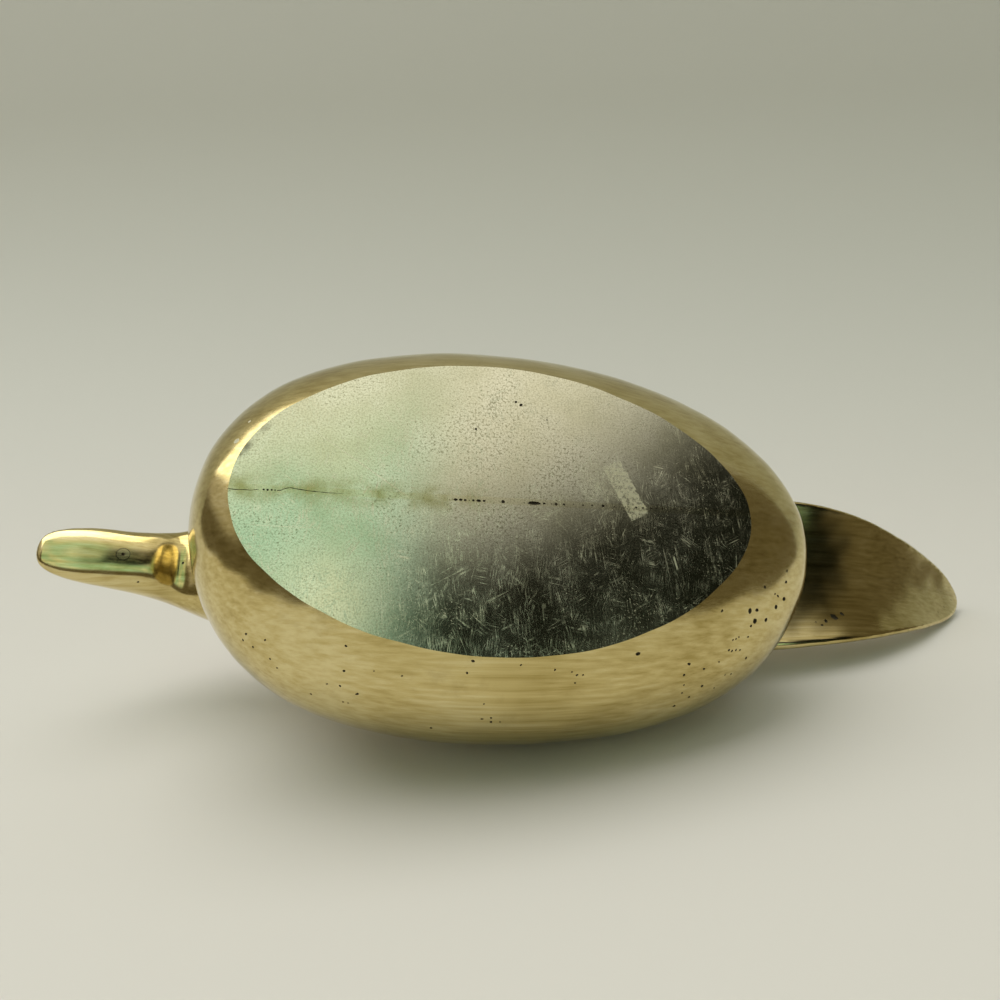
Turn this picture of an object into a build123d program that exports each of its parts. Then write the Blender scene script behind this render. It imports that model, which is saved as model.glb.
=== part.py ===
from build123d import *
import math
import os

# A hollow cast brass duck, made of two halves brazed together along its middle.
# It rests on an underside that was ground flat.
# X points to the bill, Y to the duck's left, Z up.
# The origin is the middle of the flat underside. All lengths are millimetres.

# Girth: the widest outline of the body, seen from above
girth_half_length = 76.5
girth_half_width = 49.4
girth_height = 23.7
girth_shape_shares = (0.042, 0.344, 0.054)

# Underside: the outline where the body was ground flat, and how far the breast and the rump
# overhang its ends
breast_overhang = 10.2
rump_overhang = 23.8
base_half_length = girth_half_length - (breast_overhang + rump_overhang) / 2
girth_centre_x = (breast_overhang - rump_overhang) / 2
base_half_width = 34.9
base_shape_shares = (0.040, -0.136, 0.088)

# Back: how far it rises above the girth
back_rise = 40.2

# Head: from the neck root inside the body to the tip of the bill
neck_root_x = 36.0
neck_root_share = 0.469
neck_root_height = girth_height + neck_root_share * back_rise
bill_tip_x = 109.0
head_height = 57.5
head_half_width = 13.0
crown_rise = 13.0
throat_drop = 7.0

# Tail: from its root inside the body to its tip
tail_root_x = -40.0
tail_tip_x = -169.6
tail_low_share = 0.393
tail_low_height = girth_height + tail_low_share * back_rise
tail_rise = 21.0
tail_half_width = 24.0
tail_crown = 14.0
tail_hollow = 4.0
tail_edge = 3.6

# Blends where the neck and the tail rise out of the body
neck_blend = 8.0
tail_blend = 6.0

# Casting: its wall, the brazed seam, and the plugged vent under the head
wall = 3.0
seam_width = 1.6
plug_diameter = 3.0
plug_clearance = 0.04
plug_place_x = 89.5
punch_diameter = 0.8
punch_depth = 0.4

# Eyes, engraved as a ring and a dot on both sides of the head
eye_x = 80.0
eye_height = 61.5
eye_diameter = 4.6
eye_line = 0.5
eye_depth = 0.6

# Head sections from the neck root to the bill. Each row holds the share of the way along X,
# the share of the way from the neck root's height up to the head's, and shares of the
# head's half width, of the throat's drop and of the crown's rise
head_shares = (
    (0.00, 0.000, 1.70, 2.20, 1.05),
    (0.10, 0.231, 1.64, 2.35, 1.02),
    (0.20, 0.462, 1.53, 2.42, 1.03),
    (0.30, 0.662, 1.39, 2.20, 1.05),
    (0.39, 0.838, 1.21, 1.80, 1.08),
    (0.47, 0.973, 1.02, 1.24, 1.05),
    (0.55, 1.012, 0.83, 0.96, 0.96),
    (0.63, 0.904, 0.69, 1.02, 0.86),
    (0.71, 0.712, 0.615, 1.05, 0.75),
    (0.79, 0.519, 0.585, 1.02, 0.61),
    (0.86, 0.377, 0.555, 0.90, 0.49),
    (0.92, 0.281, 0.49, 0.74, 0.40),
    (0.96, 0.231, 0.40, 0.58, 0.31),
    (0.985, 0.204, 0.28, 0.40, 0.22),
)
bill_tip_share = 0.192

# The hollow of the head ends with this row, at the root of the bill
hollow_row_count = 10

# Tail sections from the root to the tip. Each row holds the share of the way along X, and
# shares of the tail's rise, half width, crown, hollow and edge
tail_shares = (
    (0.00, 0.25, 1.00, 0.84, 0.10, 1.00),
    (0.14, 0.20, 1.03, 0.86, 0.25, 1.25),
    (0.27, 0.13, 1.00, 0.80, 0.50, 1.20),
    (0.40, 0.04, 0.96, 0.74, 0.85, 1.10),
    (0.51, 0.00, 0.90, 0.68, 1.00, 1.00),
    (0.62, 0.07, 0.81, 0.56, 0.90, 0.95),
    (0.73, 0.26, 0.69, 0.41, 0.75, 0.90),
    (0.83, 0.51, 0.56, 0.28, 0.55, 0.85),
    (0.907, 0.73, 0.43, 0.18, 0.35, 0.78),
    (0.960, 0.88, 0.29, 0.10, 0.18, 0.66),
    (0.989, 0.965, 0.155, 0.05, 0.08, 0.52),
    (1.000, 1.000, 0.050, 0.02, 0.03, 0.40),
)

body_station_count = 17

# The core is made plainer than the skin, from straight runs between fewer sections
core_station_count = 9


def outline_square(half_length, half_width, shape_shares, centre_x, x):
    """Square of the half width of an egg outline at x, negative beyond its ends."""
    u = (x - centre_x) / half_length
    swell = 1 + sum(share * u ** (power + 1) for power, share in enumerate(shape_shares))
    return half_width**2 * (1 - u * u) * swell


def body_section(x, inset):
    """Half width and the two half heights of the body at x, for a skin set in by inset."""
    girth = outline_square(
        girth_half_length - inset, girth_half_width - inset, girth_shape_shares, girth_centre_x, x
    )
    base = outline_square(base_half_length, base_half_width, base_shape_shares, 0, x)
    half_width = math.sqrt(girth)
    low = (girth_height - inset) * half_width / math.sqrt(girth - base)
    high = (back_rise - inset) * half_width / (girth_half_width - inset)
    return half_width, low, high


def along(start, end, share):
    """The value that lies a share of the way from start to end."""
    return start + share * (end - start)


def round_section(x, height, half_width, low, high):
    """Sketch one upright section: half an ellipse above its widest line and one below."""
    with BuildSketch(Plane.YZ.offset(x)) as section:
        with BuildLine():
            EllipticalCenterArc((0, height), half_width, high, 0, arc_size=180)
            EllipticalCenterArc((0, height), half_width, low, 180, arc_size=180)
        make_face()
    return section.sketch.face()


def egg(inset, station_count, ruled):
    """The egg of the body, before the underside is ground flat."""
    reach = girth_half_length - inset
    sections = []
    for i in range(1, station_count + 1):
        x = girth_centre_x + reach * math.cos(math.pi * i / (station_count + 1))
        half_width, low, high = body_section(x, inset)
        sections.append(round_section(x, girth_height, half_width, low, high))
    breast = Vertex(girth_centre_x + reach, 0, girth_height)
    rump = Vertex(girth_centre_x - reach, 0, girth_height)
    with BuildPart() as form:
        loft(sections=[breast, *sections, rump], ruled=ruled)
    return form.part


def head_form(inset, row_count, ruled):
    """The neck, head and bill in one flowing form, set in by inset, as far as row_count rows."""
    sections = []
    for place, rise, width, throat, crown in head_shares[:row_count]:
        x = along(neck_root_x, bill_tip_x, place)
        height = along(neck_root_height, head_height, rise)
        half_width = width * head_half_width - inset
        low = throat * throat_drop - inset
        high = crown * crown_rise - inset
        sections.append(round_section(x, height, half_width, low, high))
    if row_count == len(head_shares):
        bill_tip_height = along(neck_root_height, head_height, bill_tip_share)
        sections.append(Vertex(bill_tip_x, 0, bill_tip_height))
    with BuildPart() as form:
        loft(sections=sections, ruled=ruled)
    return form.part


def tail_form():
    """The upturned paddle of the tail, hollowed below and crowned above."""
    with BuildPart() as form:
        for place, lift, width, crown, hollow, edge in tail_shares:
            x = along(tail_root_x, tail_tip_x, place)
            z = tail_low_height + lift * tail_rise
            half_edge = edge * tail_edge / 2
            rim = width * tail_half_width
            low, high = z - half_edge, z + half_edge
            with BuildSketch(Plane.YZ.offset(x)):
                with BuildLine():
                    Line((rim, low), (rim, high))
                    ThreePointArc((rim, high), (0, high + crown * tail_crown), (-rim, high))
                    Line((-rim, high), (-rim, low))
                    ThreePointArc((-rim, low), (0, low + hollow * tail_hollow), (rim, low))
                make_face()
        loft()
    return form.part


def face_plane(solid, start, direction):
    """The plane that touches the solid where a ray from start leaves it, facing outwards."""
    ray = Axis(start, direction)
    point, normal = solid.find_intersection_points(ray)[-1]
    if normal.dot(ray.direction) < 0:
        normal = -normal
    return Plane(point, z_dir=normal)


# Skin: the body, the head and the tail flow together, and the underside is ground flat
with BuildPart() as skin:
    add(egg(0, body_station_count, ruled=False))
    add(head_form(0, len(head_shares), ruled=False))
    fillet(skin.edges(Select.NEW), neck_blend)
    add(tail_form())
    fillet(skin.edges(Select.NEW).sort_by(Axis.Z)[-1], tail_blend)
    split(bisect_by=Plane.XY, keep=Keep.TOP)

# Core: the space inside the body and the neck, one wall in from the skin
with BuildPart() as core:
    add(egg(wall, core_station_count, ruled=True))
    add(head_form(wall, hollow_row_count, ruled=True))
    split(bisect_by=Plane.XY.offset(wall), keep=Keep.TOP)

# Vent: the hole through the wall under the head, square to the skin
bill_root_share = head_shares[hollow_row_count - 1][1]
bill_root_height = along(neck_root_height, head_height, bill_root_share)
vent_start = (plug_place_x, 0, bill_root_height)
vent_plane = face_plane(skin.part, vent_start, (0, 0, -1))
with BuildPart() as vent:
    with BuildSketch(vent_plane):
        Circle(plug_diameter / 2 + plug_clearance)
    extrude(amount=2 * wall, both=True)

# Eyes: a ring and a dot, sunk square to the skin
eye_plane = face_plane(skin.part, (eye_x, 0, eye_height), (0, 1, 0))
with BuildPart() as eye:
    with BuildSketch(eye_plane):
        Circle(eye_diameter / 2)
        Circle(eye_diameter / 2 - eye_line, mode=Mode.SUBTRACT)
        Circle(eye_line)
    extrude(amount=eye_depth, both=True)

# Shell: the cast wall all round, with the vent's hole and both eyes
with BuildPart() as shell:
    add(skin)
    add(core, mode=Mode.SUBTRACT)
    add(vent, mode=Mode.SUBTRACT)
    add(eye, mode=Mode.SUBTRACT)
    mirror(eye.part, about=Plane.XZ, mode=Mode.SUBTRACT)

# Each half of the casting stops at the brazed seam
with BuildPart() as left_half:
    add(shell)
    split(bisect_by=Plane.XZ.offset(-seam_width / 2), keep=Keep.BOTTOM)
left_half.part.label = "left_half"

with BuildPart() as right_half:
    mirror(left_half.part, about=Plane.XZ)
right_half.part.label = "right_half"

# The filler metal of the seam, ground flush with the halves all the way round
with BuildPart() as seam_bead:
    add(shell)
    split(bisect_by=Plane.XZ.offset(-seam_width / 2), keep=Keep.TOP)
    split(bisect_by=Plane.XZ.offset(seam_width / 2), keep=Keep.BOTTOM)
seam_bead.part.label = "seam_bead"

# The pin that closes the vent, filed flush, with a punch mark in its face
with BuildPart() as vent_plug:
    with BuildSketch(vent_plane):
        Circle(plug_diameter / 2)
    extrude(amount=2 * wall, both=True)
    add(skin, mode=Mode.INTERSECT)
    add(core, mode=Mode.SUBTRACT)
    with Locations(vent_plane):
        Cone(
            bottom_radius=punch_diameter / 2,
            top_radius=0,
            height=punch_depth,
            rotation=(180, 0, 0),
            align=(Align.CENTER, Align.CENTER, Align.MIN),
            mode=Mode.SUBTRACT,
        )
vent_plug.part.label = "vent_plug"

os.makedirs("parts", exist_ok=True)
export_step(left_half.part, "parts/left_half.step")
export_step(right_half.part, "parts/right_half.step")
export_step(seam_bead.part, "parts/seam_bead.step")
export_step(vent_plug.part, "parts/vent_plug.step")

duck = Compound([left_half.part, right_half.part, seam_bead.part, vent_plug.part])
size = duck.bounding_box().size
print(f"overall {size.X:.1f} x {size.Y:.1f} x {size.Z:.1f} mm")
for piece in (left_half, right_half, seam_bead, vent_plug):
    solids = len(piece.part.solids())
    print(f"{piece.part.label}: {solids} solid, {piece.part.volume:.0f} mm3")
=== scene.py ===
# %% [markdown]
# A brass duck, dressed for its picture.
# The real one is two hollow castings brazed together and polished. The construction comes
# packed from the CAD model; this script makes the flowing skin, the seam, the plug and the
# metal's finish, then a floor, lights and a camera.

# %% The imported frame
import math
import random
from functools import partial

import bmesh
import bpy
import numpy as np
from mathutils import Matrix, Vector


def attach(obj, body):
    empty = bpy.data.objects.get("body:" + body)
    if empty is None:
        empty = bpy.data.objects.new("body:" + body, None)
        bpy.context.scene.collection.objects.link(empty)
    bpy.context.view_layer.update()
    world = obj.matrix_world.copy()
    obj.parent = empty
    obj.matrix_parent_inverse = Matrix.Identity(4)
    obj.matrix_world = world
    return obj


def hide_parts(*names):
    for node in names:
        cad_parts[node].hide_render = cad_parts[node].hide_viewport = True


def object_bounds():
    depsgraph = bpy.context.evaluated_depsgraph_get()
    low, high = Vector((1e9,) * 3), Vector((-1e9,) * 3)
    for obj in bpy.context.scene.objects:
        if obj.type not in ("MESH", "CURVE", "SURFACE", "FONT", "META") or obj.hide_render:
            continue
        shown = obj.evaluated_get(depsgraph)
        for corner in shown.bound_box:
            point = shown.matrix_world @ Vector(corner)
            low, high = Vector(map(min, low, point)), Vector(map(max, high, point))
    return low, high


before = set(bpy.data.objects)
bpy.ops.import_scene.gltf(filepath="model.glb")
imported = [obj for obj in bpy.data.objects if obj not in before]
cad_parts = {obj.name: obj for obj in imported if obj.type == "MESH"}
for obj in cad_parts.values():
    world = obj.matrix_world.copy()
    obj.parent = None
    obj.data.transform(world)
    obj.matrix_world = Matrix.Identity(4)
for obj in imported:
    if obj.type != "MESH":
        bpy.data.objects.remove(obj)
cad_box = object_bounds()
MM = 0.001
print("nodes", sorted(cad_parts))
print("CAD box in mm", [[round(c / MM, 1) for c in corner] for corner in cad_box])

# %% [markdown]
# The skin of a casting like this has no edges: body, neck and tail melt into each other.
# Meshes that are joined by hand show a crease there, so each form is written as a field
# that is zero on its surface and negative inside. Fields can be blended smoothly, and the
# blend's own slope gives exact normals, which a polished metal needs.

# %% The body's field
# Sizes are in millimetres, as on the drawing: X to the bill, Y to the left, Z up
girth_half_length = 76.5
girth_centre_x = -6.8
girth_half_width = 49.4
girth_height = 23.7
girth_shape_shares = (0.042, 0.344, 0.054)
base_half_length = 59.5
base_half_width = 34.9
base_shape_shares = (0.040, -0.136, 0.088)
back_rise = 40.2
# Beyond its ends the outline is held, so that the field stays smooth far outside the body
girth_reach = 1.4
base_reach = 1.6
least_swell = 0.2
least_keel = 100


def swell(u, shape_shares):
    """How far an egg's outline stands out from a plain oval, at u from -1 to 1."""
    return 1 + sum(share * u ** (power + 1) for power, share in enumerate(shape_shares))


def body_field(x, y, z):
    """Negative inside the egg, in about millimetres near its surface."""
    u = (x - girth_centre_x) / girth_half_length
    girth_swell = np.maximum(swell(np.clip(u, -girth_reach, girth_reach), girth_shape_shares), least_swell)
    girth = girth_half_width**2 * (1 - u * u) * girth_swell
    v = x / base_half_length
    base_swell = swell(np.clip(v, -base_reach, base_reach), base_shape_shares)
    base = base_half_width**2 * (1 - v * v) * base_swell
    up = np.maximum(z - girth_height, 0)
    down = np.minimum(z - girth_height, 0)
    side_part = (y * y + (up * girth_half_width / back_rise) ** 2) / girth_swell
    keel_part = (down / girth_height) ** 2 * np.maximum(girth - base, least_keel) / girth_swell
    whole = (side_part + keel_part) / girth_half_width**2 - (1 - u * u)
    return whole * girth_half_width / 2


print("body field at its centre", round(float(body_field(0.0, 0.0, girth_height)), 1))

# %% [markdown]
# The head reaches forward on a thick neck and ends in a blunt bill, all low over the breast.
# Its section changes all the way, so a table gives its height, width, throat and crown, and
# smooth curves run through the rows. Fewer rows make a sausage, and more make bumps.

# %% The head's field
neck_root_x = 36.0
bill_tip_x = 109.0
head_height = 57.5
head_half_width = 13.0
crown_rise = 13.0
throat_drop = 7.0
# The underside's oval gets flatter by this power, from one share of the length, over another
underside_flatness = 0.7
flat_from = 0.2
flat_over = 0.3
# Share along X, then shares of the head's height, half width, throat drop and crown rise
head_shares = (
    (0.00, 0.740, 1.70, 2.20, 1.05),
    (0.10, 0.800, 1.64, 2.35, 1.02),
    (0.20, 0.860, 1.53, 2.42, 1.03),
    (0.30, 0.912, 1.39, 2.20, 1.05),
    (0.39, 0.958, 1.21, 1.80, 1.08),
    (0.47, 0.993, 1.02, 1.24, 1.05),
    (0.55, 1.003, 0.83, 0.96, 0.96),
    (0.63, 0.975, 0.69, 1.14, 0.86),
    (0.71, 0.925, 0.615, 0.95, 0.75),
    (0.79, 0.875, 0.585, 0.70, 0.61),
    (0.86, 0.838, 0.555, 0.52, 0.49),
    (0.92, 0.813, 0.49, 0.40, 0.40),
    (0.96, 0.800, 0.40, 0.32, 0.31),
    (0.985, 0.793, 0.28, 0.24, 0.22),
    (1.00, 0.790, 0.00, 0.00, 0.00),
)
SAMPLES = 4000


def smooth_column(places, values):
    """Values on a fine even scale from 0 to 1, along a smooth curve through the given rows."""
    places, values = np.array(places), np.array(values)
    slopes = np.gradient(values, places)
    fine = np.linspace(0, 1, SAMPLES)
    row = np.clip(np.searchsorted(places, fine, side="right") - 1, 0, len(places) - 2)
    span = places[row + 1] - places[row]
    t = (fine - places[row]) / span
    return (
        (2 * t**3 - 3 * t**2 + 1) * values[row]
        + (t**3 - 2 * t**2 + t) * span * slopes[row]
        + (3 * t**2 - 2 * t**3) * values[row + 1]
        + (t**3 - t**2) * span * slopes[row + 1]
    )


def read_column(column, place):
    """The smooth column's value at a place from 0 to 1, held level beyond both ends."""
    return np.interp(place, np.linspace(0, 1, SAMPLES), column)


head_places = [row[0] for row in head_shares]
head_axis = smooth_column(head_places, [row[1] * head_height for row in head_shares])
head_width_square = smooth_column(head_places, [(row[2] * head_half_width) ** 2 for row in head_shares])


def width_ratio(column, reach):
    """How much wider than high one half of the head's section is. The last row has no size."""
    rows = head_shares[:-1] + head_shares[-2:-1]
    return smooth_column(head_places, [row[2] * head_half_width / (row[column] * reach) for row in rows])


throat_ratio = width_ratio(3, throat_drop)
crown_ratio = width_ratio(4, crown_rise)


def head_field(x, y, z):
    """Negative inside the neck, head and bill, which are flatter below than above."""
    place = (x - neck_root_x) / (bill_tip_x - neck_root_x)
    rise = z - read_column(head_axis, place)
    beyond = np.maximum(place - 1, 0) + np.maximum(-place, 0)
    square = read_column(head_width_square, place) - beyond * 4 * head_half_width**2
    scale = 2 * np.sqrt(np.maximum(square, 0) + (head_half_width / 3) ** 2)
    crown_part = y * y + (np.maximum(rise, 0) * read_column(crown_ratio, place)) ** 2
    power = 2 + underside_flatness * np.clip((place - flat_from) / flat_over, 0, 1)
    drop = np.maximum(-rise, 0) * read_column(throat_ratio, place)
    throat_part = (np.abs(y) ** power + drop**power) ** (2 / power)
    return (np.where(rise > 0, crown_part, throat_part) - square) / scale


print("head field inside the bill", round(float(head_field(np.array(95.0), np.array(0.0), 50.0)), 1))

# %% [markdown]
# The tail is a solid paddle with a rounded rim, crowned above and hollow below. A bent plate
# would have one thickness, so a table gives its width, crown, hollow and edge as well.

# %% The tail's field
tail_root_x = -40.0
tail_tip_x = -169.6
tail_low_height = 39.5
tail_tip_height = 60.5
tail_half_width = 24.0
tail_crown = 14.0
tail_hollow = 4.0
tail_edge = 3.6
tip_rounding = 0.8
rim_softness = 0.01
# Share along X, share of the rise to the tip, then shares of the width, crown, hollow and edge
tail_shares = (
    (0.00, 0.25, 1.00, 0.84, 0.10, 1.00),
    (0.14, 0.20, 1.03, 0.86, 0.25, 1.25),
    (0.27, 0.13, 1.00, 0.80, 0.50, 1.20),
    (0.40, 0.04, 0.96, 0.74, 0.85, 1.10),
    (0.51, 0.00, 0.90, 0.68, 1.00, 1.00),
    (0.62, 0.07, 0.81, 0.56, 0.90, 0.95),
    (0.73, 0.26, 0.69, 0.41, 0.75, 0.90),
    (0.83, 0.51, 0.56, 0.28, 0.55, 0.85),
    (0.907, 0.73, 0.43, 0.18, 0.35, 0.78),
    (0.960, 0.88, 0.29, 0.10, 0.18, 0.66),
    (0.989, 0.965, 0.155, 0.05, 0.08, 0.52),
    (1.000, 1.000, 0.050, 0.02, 0.03, 0.40),
)
tail_places = [row[0] for row in tail_shares]
tail_axis = smooth_column(
    tail_places, [tail_low_height + row[1] * (tail_tip_height - tail_low_height) for row in tail_shares]
)
tail_width_square = smooth_column(tail_places, [(row[2] * tail_half_width) ** 2 for row in tail_shares])
tail_crowns = smooth_column(tail_places, [row[3] * tail_crown for row in tail_shares])
tail_hollows = smooth_column(tail_places, [row[4] * tail_hollow for row in tail_shares])
tail_half_edges = smooth_column(tail_places, [row[5] * tail_edge / 2 for row in tail_shares])


def tail_field(x, y, z):
    """Negative inside the paddle of the tail, whose rim is rounded."""
    place = (x - tail_root_x) / (tail_tip_x + tip_rounding - tail_root_x)
    half_edge = read_column(tail_half_edges, place)
    square = read_column(tail_width_square, place)
    width = np.sqrt(np.maximum(square, half_edge**2))
    beyond = np.maximum(place - 1, 0) + np.maximum(-place, 0)
    crown = read_column(tail_crowns, place)
    hollow = read_column(tail_hollows, place)
    bow = np.clip(1 - (y / width) ** 2, 0, 1)
    middle = read_column(tail_axis, place) + (crown + hollow) / 2 * bow
    half_thick = half_edge + (crown - hollow) / 2 * bow
    inner_width = np.maximum(width - half_edge, 0)
    past_rim = np.maximum(np.abs(y) - inner_width, 0)
    across = np.sqrt(past_rim**2 + (z - middle) ** 2 + rim_softness)
    length = tail_root_x - tail_tip_x
    return across - half_thick + beyond * length


print("tail field inside the tail", round(float(tail_field(np.array(-100.0), 0.0, 47.0)), 1))

# %% [markdown]
# The neck and the tail leave the body through a generous fillet, filed by hand on the wax.
# A smooth minimum of two fields makes exactly such a fillet. A faint waviness is added,
# because a hand-polished casting is never as true as a formula, and the eye reads that
# from its reflections.

# %% The blended skin
neck_blend = 11.0
tail_blend = 9.0
# Length and height of each wave, and how far the skin lies inside, so that none stands out
hand_waves = ((23.0, 0.10), (11.0, 0.05))
skin_inset = 0.14


def melt(a, b, reach):
    """The smaller of two fields, rounded where they are closer than reach."""
    near = np.maximum(reach - np.abs(a - b), 0) / reach
    return np.minimum(a, b) - near**3 * reach / 6


def waviness(x, y, z):
    """Slow swells and dips of a hand-finished surface, in millimetres."""
    total = 0.0
    for index, (length, height) in enumerate(hand_waves):
        k = 2 * math.pi / length
        shift = 1.7 * index
        total = total + height * (
            np.sin(k * (x + 0.4 * y) + shift) * np.sin(k * (0.8 * y - 0.3 * z) + 2 + shift)
            + np.sin(k * (0.6 * x - 0.5 * z) + 4 + shift) * np.sin(k * 0.7 * z + shift)
        ) / 2
    return total


def skin_field(x, y, z):
    """The whole duck before its underside is ground flat."""
    side = np.abs(y)
    with_head = melt(body_field(x, side, z), head_field(x, side, z), neck_blend)
    whole = melt(with_head, tail_field(x, side, z), tail_blend)
    return whole + skin_inset + waviness(x, y, z)


def slope(points, step=0.05):
    """The field's slope at many points, by small steps both ways."""
    rows = []
    for axis in range(3):
        forward, back = points.copy(), points.copy()
        forward[:, axis] += step
        back[:, axis] -= step
        rows.append((skin_field(*forward.T) - skin_field(*back.T)) / (2 * step))
    return np.stack(rows, axis=1)


def settle(points, rounds=4):
    """Points moved along the slope until they lie on the skin."""
    for _ in range(rounds):
        steep = slope(points)
        gap = skin_field(*points.T)
        move = steep * (gap / np.maximum((steep**2).sum(axis=1), 1e-4))[:, None]
        points = points - np.clip(move, -1, 1)
    return points


# %% [markdown]
# A field becomes a mesh by walking a grid: every cell that the skin passes through gets one
# vertex, and every grid edge that crosses the skin gets one face. The vertices are then
# moved exactly onto the skin.

# %% The skin's mesh
CELL = 0.9


def walk_grid(low, high, cell):
    """Vertices and four-sided faces of the skin inside a box, from a grid of that cell size."""
    counts = [int((b - a) / cell) + 2 for a, b in zip(low, high)]
    xs, ys, zs = (a + cell * np.arange(n) for a, n in zip(low, counts))
    field = skin_field(xs[:, None, None], ys[None, :, None], zs[None, None, :])
    inside = field < 0
    corners = [inside[i:counts[0] - 1 + i, j:counts[1] - 1 + j, k:counts[2] - 1 + k]
               for i in (0, 1) for j in (0, 1) for k in (0, 1)]
    number = sum(corner.astype(np.int8) for corner in corners)
    crossed = (number > 0) & (number < 8)
    index = np.full(crossed.shape, -1)
    index[crossed] = np.arange(crossed.sum())
    cells = np.argwhere(crossed)
    points = np.array(low) + cell * (cells + 0.5)
    faces = []
    for axis in range(3):
        near = [slice(1, -1)] * 3
        far = [slice(1, -1)] * 3
        near[axis], far[axis] = slice(0, -1), slice(1, None)
        here, there = inside[tuple(near)], inside[tuple(far)]
        a, b = (axis + 1) % 3, (axis + 2) % 3
        for turned in (False, True):
            edges = np.argwhere(here & ~there if not turned else ~here & there)
            start = edges.copy()
            start[:, a] += 1
            start[:, b] += 1
            ring = []
            for da, db in ((0, 0), (-1, 0), (-1, -1), (0, -1)):
                spot = start.copy()
                spot[:, a] += da
                spot[:, b] += db
                ring.append(index[tuple(spot.T)])
            ring = np.stack(ring, axis=1)
            faces.append(ring[:, ::-1] if turned else ring)
    return points, np.concatenate(faces)


margin = 3.0
low = [cad_box[0].x / MM - margin, cad_box[0].y / MM - margin, -margin]
high = [cad_box[1].x / MM + margin, cad_box[1].y / MM + margin, cad_box[1].z / MM + margin]
points, faces = walk_grid(low, high, CELL)
points = settle(points)
print("skin", len(points), "vertices,", len(faces), "faces, worst gap in mm",
      round(float(np.abs(skin_field(*points.T)).max()), 3))
print("skin reaches in mm", points.min(axis=0).round(1), points.max(axis=0).round(1))

# %% [markdown]
# The flaws of a casting lie where they lie, so the ones that show are placed by the
# picture: a ray goes from the camera through a picture point, and where it meets the skin
# is the pit. That needs the camera first. Its place and turn were found from the outlines
# of the underside, the body, the head and the tail.

# %% The camera
camera_place = Vector((35.736, -65.404, -149.894))
camera_right = Vector((-0.977779, -0.032454, -0.207110))
camera_up = Vector((0.052161, 0.919211, -0.390296))
camera_back = camera_right.cross(camera_up)
SENSOR = 36.0
FOCAL_PIXELS = 755.0
PICTURE = 1000.0

camera_data = bpy.data.cameras.new("camera")
camera_data.sensor_width = SENSOR
camera_data.lens = SENSOR * FOCAL_PIXELS / PICTURE
camera_data.clip_start = 0.005
camera_data.clip_end = 20.0
camera = bpy.data.objects.new("camera", camera_data)
camera.matrix_world = Matrix.Translation(camera_place * MM) @ Matrix(
    (camera_right, camera_up, camera_back)
).transposed().to_4x4()
bpy.context.scene.collection.objects.link(camera)
bpy.context.scene.camera = camera
print("lens", round(camera_data.lens, 2), "mm, back", [round(c, 4) for c in camera_back])

# %% Sights through the picture
# Nearest, farthest and number of the places in millimetres where a sight looks for the skin
SIGHT_PLACES = (60, 420, 3601)


def sight(px, py):
    """The direction from the camera through a picture point."""
    x, y = (px - PICTURE / 2) / FOCAL_PIXELS, (py - PICTURE / 2) / FOCAL_PIXELS
    return (camera_right * x - camera_up * y - camera_back).normalized()


def meet_skin(px, py):
    """Where the sight through a picture point first meets the ground skin, and the slope there."""
    direction = np.array(sight(px, py))
    reach = np.linspace(*SIGHT_PLACES)
    path = np.array(camera_place) + reach[:, None] * direction
    inside = (skin_field(*path.T) < 0) & (path[:, 2] > 0)
    if not inside.any():
        return None, None
    first = int(np.argmax(inside))
    near, far = reach[first - 1], reach[first]
    for _ in range(20):
        middle = (near + far) / 2
        spot = np.array(camera_place) + middle * direction
        if spot[2] > 0 and skin_field(*spot) < 0:
            far = middle
        else:
            near = middle
    spot = np.array(camera_place) + far * direction
    if spot[2] < 0.01:
        return spot, np.array((0.0, 0.0, -1.0))
    steep = slope(spot[None, :])[0]
    return spot, steep / np.linalg.norm(steep)


print("the vent lies in mm at", meet_skin(123, 555)[0].round(1))

# %% [markdown]
# Gas trapped in the melt leaves pores, and polishing opens them as small dark pits, most of
# them where the metal froze last, near the root of the tail. Each is a small dented ball
# that is cut out of the casting, so it has real depth from any side.

# %% The pits of the casting
random.seed(11)
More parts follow.
